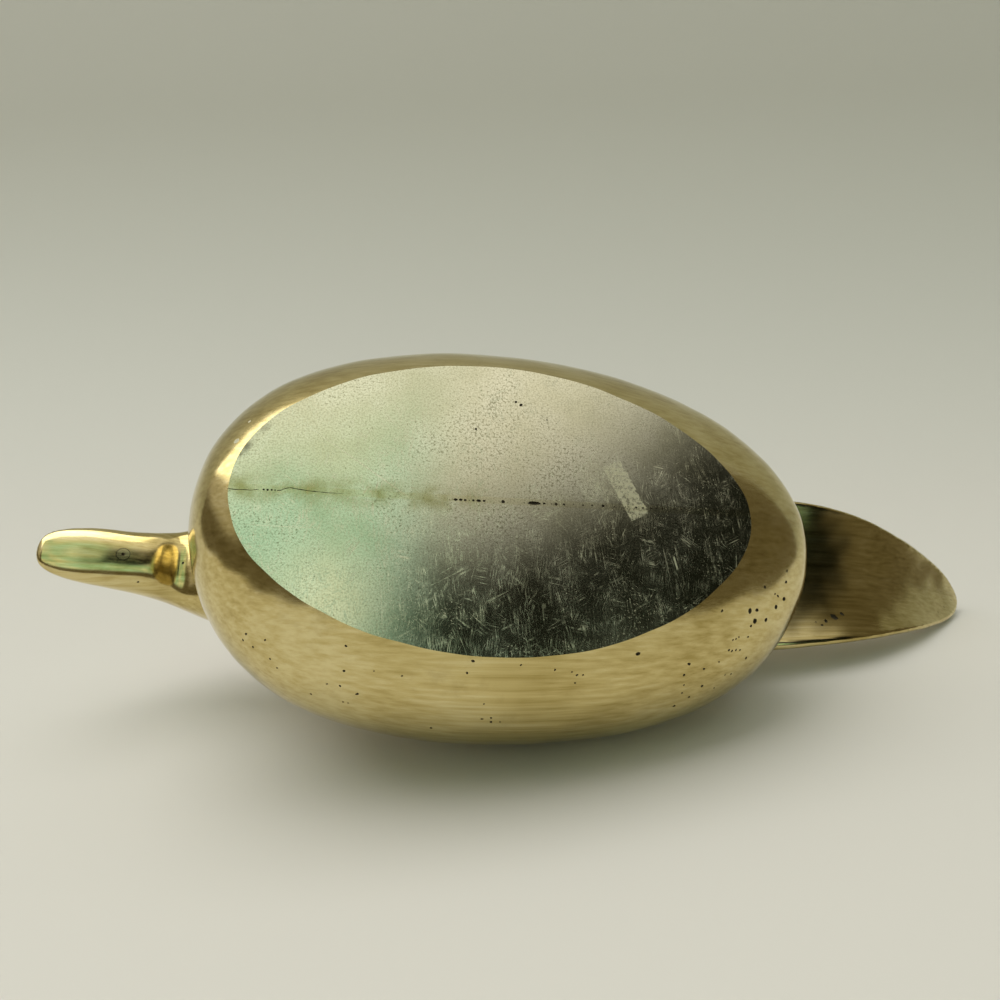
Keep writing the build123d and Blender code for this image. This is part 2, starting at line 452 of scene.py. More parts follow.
# Picture points and radii in millimetres of the pits that show
seen_pits = (
    (750, 611, 0.55), (757, 610, 0.42), (755, 621, 0.62), (751, 626, 0.32), (766, 620, 0.5),
    (764, 623, 0.4), (776, 607, 0.55), (778, 610, 0.36), (784, 599, 0.5), (778, 596, 0.28),
    (775, 594, 0.25), (765, 587, 0.36), (787, 571, 0.28), (786, 582, 0.34), (722, 611, 0.28),
    (733, 640, 0.24), (736, 639, 0.24), (739, 637, 0.2), (729, 650, 0.3), (732, 651, 0.26),
    (736, 650, 0.24), (740, 650, 0.22), (731, 654, 0.22), (746, 658, 0.32), (638, 654, 0.4),
    (634, 655, 0.36), (640, 657, 0.3), (689, 664, 0.32), (684, 675, 0.32), (704, 669, 0.26),
    (702, 686, 0.36), (689, 697, 0.28), (674, 706, 0.32), (684, 685, 0.22), (682, 693, 0.22),
    (719, 662, 0.18), (725, 675, 0.18), (731, 674, 0.22), (577, 675, 0.22), (583, 675, 0.18),
    (572, 672, 0.16), (575, 683, 0.18), (555, 670, 0.2), (748, 637, 0.22), (714, 688, 0.18),
    (253, 647, 0.28), (265, 640, 0.2), (243, 640, 0.24), (246, 634, 0.26), (346, 646, 0.24),
    (344, 671, 0.28), (340, 686, 0.24), (357, 694, 0.28), (343, 702, 0.2), (348, 703, 0.18),
    (431, 728, 0.28), (402, 676, 0.18), (374, 671, 0.15), (473, 661, 0.28), (467, 673, 0.24),
    (482, 719, 0.24), (491, 722, 0.28), (491, 718, 0.2), (500, 722, 0.18), (484, 704, 0.18),
    (521, 665, 0.18), (277, 668, 0.2), (270, 659, 0.24), (311, 694, 0.22), (327, 684, 0.18),
    (834, 617, 0.8), (842, 614, 0.5), (826, 621, 0.5), (822, 625, 0.3), (816, 622, 0.2),
    (183, 563, 0.3), (138, 582, 0.22), (944, 607, 0.2), (938, 612, 0.2), (951, 600, 0.2),
    (516, 402, 0.3), (521, 405, 0.34), (547, 420, 0.18), (476, 429, 0.26),
)
print(len(seen_pits), "pits show")

# %% A cutter for each pit
# How much longer than wide a pit may be, the depth of its dents, its flatness and its room
STRETCHES = (1.0, 1.6)
DENT = 0.16
FLATNESS = 0.8
ROOM_PER_RADIUS = 1.17
# Scattered pits of the sides that don't show, and their radii in millimetres
UNSEEN_PITS = 110
UNSEEN_RADII = (0.15, 0.4)
# Half the width of the seam's filler in millimetres
SEAM_HALF = 0.8
taken = []


def pit_ball(bm, place, outward, radius, stretch=1.0, along_x=False):
    """Adds a dented ball, flattened along the outward direction, to a mesh of cutters.

    Balls that would touch one that is there already are left out.
    """
    reach = ROOM_PER_RADIUS * radius * stretch
    if any((Vector(place) - other).length < reach + room for other, room in taken):
        return False
    taken.append((Vector(place), reach))
    ball = bmesh.ops.create_icosphere(bm, subdivisions=2, radius=1.0)["verts"]
    outward = Vector(outward)
    side = Vector((1, 0, 0)) if along_x else Vector([random.uniform(-1, 1) for _ in range(3)])
    side = (side - outward * side.dot(outward)).normalized()
    turn = Matrix((side, outward.cross(side), outward)).transposed()
    phase = random.uniform(0, 6.28)
    for vertex in ball:
        dent = 1 + DENT * math.sin(3 * vertex.co.x + phase) * math.sin(4 * vertex.co.y + 2 * phase)
        local = Vector((vertex.co.x * radius * stretch, vertex.co.y * radius, vertex.co.z * radius * FLATNESS))
        vertex.co = (Vector(place) + turn @ (local * dent)) * MM
    return True


cutters = bmesh.new()
placed = 0
for px, py, radius in seen_pits:
    spot, outward = meet_skin(px, py)
    if spot is not None:
        placed += pit_ball(cutters, spot, outward, radius, random.uniform(*STRETCHES))
skin_picks = np.array(points)
for _ in range(UNSEEN_PITS):
    spot = skin_picks[random.randrange(len(skin_picks))]
    steep = slope(spot[None, :])[0]
    outward = steep / np.linalg.norm(steep)
    seen = Vector(outward).dot(camera_place - Vector(spot)) > 0
    # Clear of the ground edge, of the seam and of the thin end of the tail
    if spot[2] > 1.5 and not seen and abs(spot[1]) > SEAM_HALF + 0.6 and spot[0] > -150:
        placed += pit_ball(cutters, spot, outward, random.uniform(*UNSEEN_RADII), random.uniform(*STRETCHES))
print(placed, "pits placed")

# %% [markdown]
# The two castings are brazed together along the middle. Ground flat, the seam shows as a row
# of pores and short voids where the filler metal ran thin, and as one fine crack at the
# breast end. These are cut like the pits, at their real places on the underside.

# %% The voids and the crack of the seam
# X, Y, length and width in millimetres, all on the underside
seam_voids = (
    (52.0, -0.3, 0.5, 0.42), (51.2, -0.35, 0.5, 0.46), (50.4, -0.3, 0.45, 0.42), (49.7, -0.3, 0.36, 0.34),
    (11.7, -0.3, 0.9, 0.62), (10.6, -0.28, 0.8, 0.6), (9.6, -0.3, 0.65, 0.5), (8.7, -0.3, 0.3, 0.25),
    (7.8, -0.28, 0.6, 0.55), (6.6, -0.26, 1.1, 0.66), (5.4, -0.26, 0.7, 0.5), (1.1, -0.2, 0.85, 0.8),
    (-6.0, -0.13, 3.1, 0.9), (-8.3, -0.12, 0.7, 0.5), (-3.7, -0.2, 0.3, 0.25),
    (-10.0, -0.1, 0.3, 0.25), (-11.1, -0.1, 0.75, 0.7), (-12.9, -0.08, 0.6, 0.55), (-15.2, 0.1, 0.25, 0.2),
    (-17.4, 0.0, 0.4, 0.34), (-19.6, 0.0, 0.45, 0.4), (-22.2, 0.05, 0.75, 0.7), (-24.9, 0.0, 0.3, 0.25),
    (-27.6, 0.1, 0.35, 0.3), (-30.2, 0.1, 0.6, 0.55), (-31.9, 0.12, 0.5, 0.45), (-33.8, 0.1, 0.6, 0.4),
    (-35.2, 0.15, 0.7, 0.4), (-36.6, 0.15, 0.6, 0.4), (-39.8, 0.2, 0.5, 0.36), (-41.3, 0.2, 0.5, 0.4),
    (-42.7, 0.22, 0.45, 0.36), (-48.7, 0.3, 0.6, 0.34), (-50.6, 0.3, 0.5, 0.36), (-52.7, 0.3, 0.4, 0.3),
)
# The crack's width in millimetres, and its depth as a share of half the width
CRACK_WIDTH = 0.17
CRACK_DEPTH_SHARE = 2.4
# Its two runs, before and after the four pores
crack_paths = (
    ((59.3, -0.5), (57.6, -0.62), (56.0, -0.56), (54.6, -0.6), (53.4, -0.4), (52.5, -0.35)),
    ((49.3, -0.34), (48.6, -0.3), (48.0, 0.05), (46.8, 0.48), (45.8, 0.28), (44.4, 0.12), (42.6, -0.1),
     (41.0, -0.16), (38.8, -0.3), (36.9, -0.26), (34.6, -0.34)),
)
print(len(seam_voids), "voids and a crack of", len(crack_paths), "runs")

# %% Cutters for the seam
for x, y, length, width in seam_voids:
    pit_ball(cutters, (x, y, 0.0), (0, 0, -1), width / 2, length / width, along_x=True)


def crack_tube(bm, path, width):
    """Adds a ragged spindle, thinner to its end, along a path on the underside to a mesh of cutters."""
    fine = [Vector((*a, 0)).lerp(Vector((*b, 0)), share) for a, b in zip(path, path[1:]) for share in (0, 0.5)]
    up = Vector((0, 0, 1))
    rings = []
    for index, middle in enumerate(fine):
        after = fine[min(index + 1, len(fine) - 1)] - fine[max(index - 1, 0)]
        across = Vector((-after.y, after.x, 0)).normalized()
        half = width / 2 * random.uniform(0.55, 1.3) * min(1.0, 0.3 + 2.2 * (1 - index / len(fine)))
        ring = ((across, 1), (up, CRACK_DEPTH_SHARE), (across, -1), (-up, CRACK_DEPTH_SHARE))
        rings.append([bm.verts.new((middle + way * half * size) * MM) for way, size in ring])
    for near, far in zip(rings, rings[1:]):
        for k in range(4):
            bm.faces.new((near[k], near[(k + 1) % 4], far[(k + 1) % 4], far[k]))
    bm.faces.new(rings[0][::-1])
    bm.faces.new(rings[-1])


for path in crack_paths:
    crack_tube(cutters, path, CRACK_WIDTH)
bmesh.ops.recalc_face_normals(cutters, faces=cutters.faces[:])
print("the pits and the seam have", len(cutters.faces), "cutter faces")

# %% [markdown]
# The core of such a casting is vented by a hole under the head, closed with a brass pin that
# is filed flush. What the eye sees is a fine ring with a punch mark. The eyes are engraved:
# a ring and a dot on each side of the head.

# %% The vent pin
plug_diameter = 3.0
ring_gap = 0.11
pin_length = 5.0
punch_diameter = 0.8

vent_place, vent_outward = meet_skin(123, 555)
vent_place[1] = 0.0
vent_turn = Vector(vent_outward).to_track_quat("Z", "X").to_matrix().to_4x4()
vent_frame = Matrix.Translation(Vector(vent_place) * MM) @ vent_turn


def cylinder(bm, radius, length, frame_matrix, sides=48):
    """Adds a cylinder of that radius and length in millimetres, centred on a frame."""
    bmesh.ops.create_cone(bm, cap_ends=True, segments=sides, radius1=radius * MM, radius2=radius * MM,
                          depth=length * MM, matrix=frame_matrix)


vent_cutter = bmesh.new()
cylinder(vent_cutter, plug_diameter / 2 + ring_gap, pin_length, vent_frame)
pin_form = bmesh.new()
cylinder(pin_form, plug_diameter / 2, pin_length, vent_frame)
punch = bmesh.new()
bmesh.ops.create_cone(punch, cap_ends=True, segments=20, radius1=0.0, radius2=punch_diameter * MM,
                      depth=punch_diameter * MM, matrix=vent_frame)
print("vent at", vent_place.round(1), "facing", vent_outward.round(2))

# %% The eyes
eye_x = 80.0
eye_height = 61.5
eye_diameter = 4.6
eye_line = 0.5
EYE_STEPS = 40
LINE_SIDES = 8


def engraved_eye(bm, side):
    """Adds the ring and the dot of one eye as cutters, on side +1 or -1."""
    depth = np.linspace(0, 20, 2001)
    field = skin_field(np.full(2001, eye_x), side * depth, np.full(2001, eye_height))
    place = np.array((eye_x, side * depth[int(np.argmax(field > 0))], eye_height))
    outward = slope(place[None, :])[0]
    turn = Vector(outward).to_track_quat("Z", "Y").to_matrix()
    rings = []
    for step in range(EYE_STEPS):
        angle = 2 * math.pi * step / EYE_STEPS
        away = Vector((math.cos(angle), math.sin(angle), 0))
        spot = np.array(Vector(place) + turn @ (away * (eye_diameter - eye_line) / 2))[None, :]
        spot = settle(spot, 6)[0]
        rise = Vector(slope(spot[None, :])[0]).normalized()
        out = (turn @ away).normalized()
        ring = []
        for corner in range(LINE_SIDES):
            a = 2 * math.pi * corner / LINE_SIDES
            local = out * math.cos(a) * eye_line * 0.5 + rise * math.sin(a) * eye_line * 0.6
            ring.append(bm.verts.new((Vector(spot) + local) * MM))
        rings.append(ring)
    for near, far in zip(rings, rings[1:] + rings[:1]):
        for k in range(LINE_SIDES):
            bm.faces.new((near[k], near[(k + 1) % LINE_SIDES], far[(k + 1) % LINE_SIDES], far[k]))
    dot = bmesh.ops.create_icosphere(bm, subdivisions=2, radius=eye_line * 1.1 * MM)["verts"]
    bmesh.ops.translate(bm, verts=dot, vec=Vector(place) * MM)
    return place


for side in (1, -1):
    print("eye at", engraved_eye(cutters, side).round(1))
bmesh.ops.recalc_face_normals(cutters, faces=cutters.faces[:])

# %% [markdown]
# The skin becomes three pieces, as the real duck is made: the left casting, the right
# casting and the strip of filler between them. The flat underside is cut, not modelled, so
# its edge is as crisp as a real ground edge.

# %% The skin, ground flat
slab = bmesh.new()
skin_verts = [slab.verts.new(Vector(p) * MM) for p in points]
for face in faces:
    slab.faces.new([skin_verts[i] for i in face])
bmesh.ops.recalc_face_normals(slab, faces=slab.faces[:])


def cut_flat(bm, place, outward):
    """Cuts off all that lies beyond a plane and closes the cut with one flat face."""
    everything = bm.verts[:] + bm.edges[:] + bm.faces[:]
    bmesh.ops.bisect_plane(bm, geom=everything, dist=1e-8, plane_co=Vector(place) * MM,
                           plane_no=Vector(outward), clear_outer=True)
    rim = [edge for edge in bm.edges if len(edge.link_faces) == 1]
    bmesh.ops.holes_fill(bm, edges=rim, sides=0)
    bmesh.ops.recalc_face_normals(bm, faces=bm.faces[:])


def state(bm):
    """What a closed mesh is worth: its faces, its open edges and its volume in cubic centimetres."""
    loose = sum(len(edge.link_faces) != 2 for edge in bm.edges)
    return f"{len(bm.faces)} faces, {loose} open edges, {bm.calc_volume(signed=True) * 1e6:.1f} cm3"


cut_flat(slab, (0, 0, 0), (0, 0, -1))
print("after grinding:", state(slab))

# %% The pieces
def as_object(bm, name):
    """A mesh object made from a bmesh."""
    mesh = bpy.data.meshes.new(name)
    bm.to_mesh(mesh)
    made = bpy.data.objects.new(name, mesh)
    bpy.context.scene.collection.objects.link(made)
    return made


def cut_with(target, cutter, operation="DIFFERENCE"):
    """Cuts one closed object with another and keeps the result in the target's mesh."""
    modifier = target.modifiers.new("cut", "BOOLEAN")
    modifier.operation = operation
    modifier.solver = "EXACT"
    modifier.object = cutter
    shown = target.evaluated_get(bpy.context.evaluated_depsgraph_get())
    mesh = bpy.data.meshes.new_from_object(shown)
    target.modifiers.clear()
    old = target.data
    target.data = mesh
    bpy.data.meshes.remove(old)


whole = as_object(slab, "whole_skin")
castings = {}
for name, planes in (
    ("left_casting", (((0, SEAM_HALF, 0), (0, -1, 0)),)),
    ("right_casting", (((0, -SEAM_HALF, 0), (0, 1, 0)),)),
    ("seam_filler", (((0, SEAM_HALF, 0), (0, 1, 0)), ((0, -SEAM_HALF, 0), (0, -1, 0)))),
):
    part = slab.copy()
    for place, outward in planes:
        cut_flat(part, place, outward)
    castings[name] = as_object(part, name)
    print(name, state(part))
    part.free()

# %% Cutting the flaws
print("cutters", state(cutters))
flaws = as_object(cutters, "flaw_cutters")
vent_hole = as_object(vent_cutter, "vent_cutter")
for part in castings.values():
    cut_with(part, flaws)
    cut_with(part, vent_hole)
pin = as_object(pin_form, "vent_pin")
cut_with(pin, whole, "INTERSECT")
cut_with(pin, as_object(punch, "punch_cutter"))
for name in ("whole_skin", "flaw_cutters", "vent_cutter", "punch_cutter"):
    bpy.data.objects.remove(bpy.data.objects[name])
pieces = {**castings, "vent_pin": pin}
for name, part in pieces.items():
    print(name, "with its flaws has", len(part.data.polygons), "faces")

# %% [markdown]
# A polished skin shows every wrong normal, so the skin faces take theirs from the field's
# slope. The ground face and the cut flaws keep the flat normals of their own faces. The same
# test tells which face gets which finish.

# %% Normals and the kinds of faces
SKIN, GROUND, FLAW = 0, 1, 2
# How near to the skin and to the base a corner lies in millimetres, and how steady the slope is
SKIN_GAP = 0.03
BASE_GAP = 0.002
STEADY = 0.3


def sort_faces(part):
    """The kind of each face, and the normal of each of its corners."""
    mesh = part.data
    count = len(mesh.vertices)
    places = np.empty(count * 3)
    mesh.vertices.foreach_get("co", places)
    places = places.reshape(-1, 3) / MM
    steep = slope(places)
    steep /= np.maximum(np.linalg.norm(steep, axis=1), 1e-9)[:, None]
    off_skin = np.abs(skin_field(*places.T)) > SKIN_GAP
    kinds, corners = [], []
    for face in mesh.polygons:
        members = list(face.vertices)
        flat = np.array(face.normal)
        if flat[2] < -0.999 and np.abs(places[members, 2]).max() < BASE_GAP:
            kinds.append(GROUND)
            corners += [flat] * len(members)
        elif not off_skin[members].any() and (steep[members] @ flat).min() > STEADY:
            kinds.append(SKIN)
            corners += list(steep[members])
        else:
            kinds.append(FLAW)
            corners += [flat] * len(members)
    return kinds, corners


for name, part in pieces.items():
    kinds, corners = sort_faces(part)
    part.data.polygons.foreach_set("material_index", kinds)
    part.data.polygons.foreach_set("use_smooth", [True] * len(kinds))
    part.data.normals_split_custom_set(corners)
    print(name, "skin, ground and flaw faces:", [kinds.count(kind) for kind in (SKIN, GROUND, FLAW)])

# %% [markdown]
# Finishes. One helper turns colours as they are picked on a screen into the linear ones that
# a shader works with, and one adds any node to a tree, with its inputs and settings. An input
# goes by its name, or by its number where that is shorter: a Mix has its share at 0 and its
# colours at 6 and 7, and a Map Range its value at 0, its old range at 1 and 2, the new at 3
# and 4. Noise lies mostly between 0.3 and 0.7, so a range within that picks how much of the
# metal it marks.

# %% Colours and nodes
def colour(code):
    """A screen colour such as #c8b46a as linear red, green, blue and alpha."""
    parts = [int(code[k:k + 2], 16) / 255 for k in (1, 3, 5)]
    return tuple(p / 12.92 if p <= 0.04045 else ((p + 0.055) / 1.055) ** 2.4 for p in parts) + (1.0,)


def add_node(tree, kind, inputs=None, stops=None, **settings):
    """Adds a node. An input takes a value, a socket, or a node, whose first output is used."""
    node = tree.nodes.new("ShaderNode" + kind)
    for name, value in settings.items():
        setattr(node, name, value)
    if stops:
        ramp = node.color_ramp.elements
        ramp.remove(ramp[1])
        ramp[0].position, ramp[0].color = stops[0]
        for place, shade in stops[1:]:
            ramp.new(place).color = shade
    for name, value in (inputs or {}).items():
        if isinstance(value, bpy.types.Node):
            value = value.outputs[0]
        if isinstance(value, bpy.types.NodeSocket):
            tree.links.new(value, node.inputs[name])
        else:
            node.inputs[name].default_value = value
    return node


def start_material(name):
    """An empty material, its own way to add nodes, and the object's coordinates in it."""
    material = bpy.data.materials.new(name)
    material.use_nodes = True
    material.node_tree.nodes.clear()
    add = partial(add_node, material.node_tree)
    return material, add, add("TexCoord").outputs["Object"]


print("brass in linear light", [round(c, 3) for c in colour("#c4b678")])

# %% [markdown]
# Polished cast brass: the skin was linished lengthwise and then buffed, so it mirrors the
# room softly, with faint lines from bill to tail. Years of handling leave slightly browner
# and duller clouds. The lines are noise that is stretched along the duck, so they run as the
# belt ran. Real ones lie about 0.1 mm apart, too fine to show, and are drawn coarser. Two
# spots of dried polish beside the underside are placed by the picture.

# %% Spots of dried polish
# Picture points and radii in millimetres
dried_spots = ((236.5, 441.0, 0.75), (249.5, 421.5, 0.4))


def spots_share(add, at):
    """A share that is high inside the spots and 0 elsewhere."""
    spotted = 0.0
    for px, py, radius in dried_spots:
        middle = tuple(float(c) * MM for c in meet_skin(px, py)[0])
        gap = add("VectorMath", {0: at, 1: middle}, operation="DISTANCE").outputs["Value"]
        share = add("MapRange", {0: gap, 1: 0.8 * radius * MM, 2: radius * MM, 3: 0.85, 4: 0.0})
        spotted = add("Math", {0: spotted, 1: share}, operation="MAXIMUM")
    return spotted


print("dried spots at", [meet_skin(px, py)[0].round(1).tolist() for px, py, _ in dried_spots])

# %% Polished cast brass
# Length and spacing in millimetres of the belt's lines and of the finer hairlines of the buff
belt_lines = (150, 1.1)
buff_lines = (24, 0.35)


def polished_brass(name, bright, middle, dark, dullness):
    """Buffed cast brass, which gives a soft golden mirror with lengthwise polishing lines."""
    material, add, at = start_material(name)
    belt, buff = (
        add("Mapping", {"Vector": at, "Scale": [1 / (size * MM) for size in (length, apart, apart)]})
        for length, apart in (belt_lines, buff_lines))
    lines = add("TexNoise", {"Vector": belt, "Scale": 1.0, "Detail": 4.0, "Roughness": 0.6})
    hairlines = add("TexNoise", {"Vector": buff, "Scale": 1.0, "Detail": 2.0})
    clouds = add("TexNoise", {"Vector": at, "Scale": 1 / (30 * MM), "Detail": 3.0})
    half_clouds = add("Math", {0: clouds, 1: 0.5}, operation="MULTIPLY")
    mixed = add("Math", {0: lines, 1: 0.5, 2: half_clouds}, operation="MULTIPLY_ADD")
    shade = add("ValToRGB", {0: mixed}, [
        (0.36, colour(dark)), (0.5, colour(middle)), (0.64, colour(bright))])
    film = add("TexNoise", {"Vector": at, "Scale": 1 / (7 * MM), "Detail": 6.0, "Roughness": 0.7})
    film_share = add("MapRange", {0: film, 1: 0.54, 2: 0.74, 3: 0.0, 4: 0.25})
    spots = spots_share(add, at)
    rough = add("MapRange", {0: hairlines, 1: 0.3, 2: 0.7, 3: dullness, 4: dullness + 0.06})
    # Film and dried polish change the colour and make it duller
    for share, code, duller in ((film_share, "#94804a", 0.2), (spots, "#b9b59c", 0.4)):
        shade = add("Mix", {0: share, 6: shade, 7: colour(code)}, data_type="RGBA").outputs[2]
        rough = add("Math", {0: share, 1: duller, 2: rough}, operation="MULTIPLY_ADD")
    relief = add("Math", {0: hairlines, 1: lines}, operation="ADD")
    bump = add("Bump", {"Strength": 0.25, "Distance": 0.005 * MM, "Height": relief})
    metal = add("Math", {0: 1.0, 1: spots}, operation="SUBTRACT")
    shader = add("BsdfPrincipled", {
        "Base Color": shade, "Metallic": metal, "Roughness": rough, "Normal": bump})
    add("OutputMaterial", {"Surface": shader})
    return material


cast_brass = polished_brass("polished_cast_brass", "#dfd09c", "#cdbb80", "#ae9b5e", 0.12)
braze_brass = polished_brass("polished_braze_brass", "#dacb98", "#c8b67c", "#a8965a", 0.14)
plug_brass = polished_brass("filed_plug_brass", "#e0d4a4", "#d2c38e", "#baa96e", 0.14)
print("polished finishes:", [m.name for m in (cast_brass, braze_brass, plug_brass)])

# %% [markdown]
# Ground brass: the underside was lapped flat and then slid over shelves for years. It still
# mirrors the room, but through a haze of fine scratches. A scratch is a thin line of rougher
# metal, so it looks pale where the underside mirrors something dark, and darker where it
# mirrors light. Noise that is stretched one way keeps to its middle value along thin lines,
# which make good scratches, and a second noise gathers them in patches. They are drawn about
# 0.1 mm wide, as finer ones don't show. Single marks are placed by the picture.

# %% Scratches
# Turn in degrees, length and spacing in millimetres, share of the area that has them
scratch_bundles = (
    (86, 24.0, 0.8, 0.9), (-80, 20.0, 0.7, 0.8), (74, 22.0, 0.9, 0.7), (-60, 26.0, 1.0, 0.5),
    (38, 24.0, 1.0, 0.4), (-28, 26.0, 1.1, 0.4), (10, 30.0, 1.2, 0.3), (-88, 12.0, 0.35, 0.5),
)
# X, Y, turn in degrees, half length and half width in millimetres, strength
long_scratches = (
    (32.7, 7.3, 35.2, 16.4, 0.13, 0.9), (47.5, -8.3, 0.7, 8.0, 0.10, 0.5), (-38.2, -13.0, 80.0, 2.0, 0.30, 1.0),
    (-20.0, 12.0, -52.0, 5.0, 0.12, 0.6), (-36.0, -13.0, 84.0, 4.5, 0.12, 0.5),
)


def mark_share(add, at, x, y, turn, half_length, half_width, edge):
    """A share that is 1 inside a long narrow mark on the underside and fades to 0 over its edge."""
    laid = add("Mapping", {
        "Vector": at, "Location": (x * MM, y * MM, 0), "Rotation": (0, 0, math.radians(turn)),
        "Scale": (half_length * MM, half_width * MM, 1.0)}, vector_type="TEXTURE")
    size = add("VectorMath", {0: laid}, operation="ABSOLUTE")
    split = add("SeparateXYZ", {"Vector": size}).outputs
    reach = add("Math", {0: split["X"], 1: split["Y"]}, operation="MAXIMUM")
    return add("MapRange", {0: reach, 1: 1 - edge, 2: 1.0, 3: 1.0, 4: 0.0})


def scratches(add, at):
    """A share that is 1 in the scratches and 0 on the metal between them."""
    scratched = 0.0
    for number, (turn, length, spacing, share) in enumerate(scratch_bundles):
        laid = add("Mapping", {
            "Vector": at, "Rotation": (0, 0, math.radians(turn)), "Scale": (length * MM, spacing * MM, 1.0),
            "Location": (0.013 * number, 0.007 * number, 0)}, vector_type="TEXTURE")
        field = add("TexNoise", {"Vector": laid, "Scale": 1.0, "Detail": 1.0})
        level = add("Math", {0: field, 1: 0.5}, operation="SUBTRACT")
        near = add("Math", {0: level}, operation="ABSOLUTE")
        line = add("MapRange", {0: near, 1: 0.004, 2: 0.024, 3: 1.0, 4: 0.0})
        spot = add("Mapping", {"Vector": at, "Location": (0.1 * number, 0, 0.3 * number)})
        patch = add("TexNoise", {"Vector": spot, "Scale": 1 / (5 * MM), "Detail": 4.0, "Roughness": 0.65})
        here = add("MapRange", {0: patch, 1: 0.58 - share * 0.14, 2: 0.72, 3: 0.0, 4: 0.9})
        both = add("Math", {0: line, 1: here}, operation="MULTIPLY")
        scratched = add("Math", {0: scratched, 1: both}, operation="MAXIMUM")
    for *mark, strength in long_scratches:
        single = mark_share(add, at, *mark, 0.5)
        cut = add("Math", {0: single, 1: strength}, operation="MULTIPLY")
        scratched = add("Math", {0: scratched, 1: cut}, operation="MAXIMUM")
    return scratched


print(len(scratch_bundles), "bundles and", len(long_scratches), "long scratches")

# %% [markdown]
# Stains: the filler's flux left an olive band along the seam, a few millimetres wide, and
# tarnish left freckles that crowd near the middle. Each is noise that is cut off at a level,
# with a share that says where it may be.

# %% Stains
# Where the freckles crowd, in millimetres
crowd_place = (2, 14, 0)


def seam_stain(add, at, blotted):
    """The share of the olive stain along the seam."""
    split = add("SeparateXYZ", {"Vector": at}).outputs
    aside = add("Math", {0: split["Y"]}, operation="ABSOLUTE")
    near_seam, towards_bill = (
        add("MapRange", {
            0: value, 1: low * MM, 2: high * MM, 3: start, 4: end}, interpolation_type="SMOOTHSTEP")
        for value, low, high, start, end in ((aside, 0.3, 4.5, 0.75, 0.0), (split["X"], 2, 16, 0.15, 1.0)))
    band = add("Math", {0: near_seam, 1: towards_bill}, operation="MULTIPLY")
    return add("Math", {0: band, 1: blotted}, operation="MULTIPLY")


def freckles(add, at, cloud):
    """The share of the freckles of tarnish."""
    gap = add("VectorMath", {0: at, 1: [c * MM for c in crowd_place]}, operation="DISTANCE")
    crowd = add("MapRange", {
        0: gap.outputs["Value"], 1: 6 * MM, 2: 30 * MM, 3: 0.09, 4: 0.0}, interpolation_type="SMOOTHSTEP")
    field = add("TexNoise", {"Vector": at, "Scale": 1 / (0.6 * MM), "Detail": 2.0, "Roughness": 0.6})
    limit = add("MapRange", {0: cloud, 1: 0.38, 2: 0.66, 3: 0.70, 4: 0.57})
    over = add("Math", {0: field, 1: limit}, operation="SUBTRACT")
    nearer = add("Math", {0: over, 1: crowd}, operation="ADD")
    return add("MapRange", {0: nearer, 1: 0.0, 2: 0.07, 3: 0.0, 4: 0.6})


print("freckles crowd at", crowd_place)

# %% Dried glue and dust
# X, Y, turn in degrees, half length and half width in millimetres
glue_strip = (-28.0, 4.4, 66.4, 7.4, 2.6)
glue_smear = (-20.5, 6.2, 66.0, 7.0, 4.5)
# How ragged the glue's edge is, in millimetres
glue_wobble = 1.6


def glue_and_dust(add, at):
    """The share of crumbly glue and specks of dust, which are no metal."""
    crumble = add("TexNoise", {"Vector": at, "Scale": 1 / (0.9 * MM), "Detail": 3.0, "Roughness": 0.7})
    wobble = glue_wobble * MM
    centred = add("VectorMath", {0: at, 1: (wobble / 2, wobble / 2, 0)}, operation="SUBTRACT")
    ragged = add("VectorMath", {
        0: crumble.outputs["Color"], 1: (wobble, wobble, 0), 2: centred}, operation="MULTIPLY_ADD")
    veil = add("Math", {0: mark_share(add, ragged, *glue_smear, 0.9), 1: 0.45}, operation="MULTIPLY")
    area = add("Math", {0: mark_share(add, ragged, *glue_strip, 0.12), 1: veil}, operation="MAXIMUM")
    crumbs = add("MapRange", {0: crumble, 1: 0.42, 2: 0.6, 3: 0.15, 4: 0.85})
    glue = add("Math", {0: area, 1: crumbs}, operation="MULTIPLY")
    specks = add("TexNoise", {"Vector": at, "Scale": 1 / (0.5 * MM), "Detail": 3.0, "Roughness": 0.7})
    speck_share = add("MapRange", {0: specks, 1: 0.6, 2: 0.68, 3: 0.0, 4: 0.55})
    patch = add("TexNoise", {"Vector": at, "Scale": 1 / (10 * MM), "Detail": 3.0})
    patch_share = add("MapRange", {0: patch, 1: 0.5, 2: 0.6, 3: 0.12, 4: 1.0})
    dust = add("Math", {0: speck_share, 1: patch_share}, operation="MULTIPLY")
    return add("Math", {0: glue, 1: dust}, operation="MAXIMUM")


print("glue strip", 2 * glue_strip[3], "by", 2 * glue_strip[4], "mm")

# %% Ground brass
# A dark smear beside the edge at the breast end, in the same measures as the glue
dark_smear = (56.6, 10.2, -57.0, 7.5, 1.9)


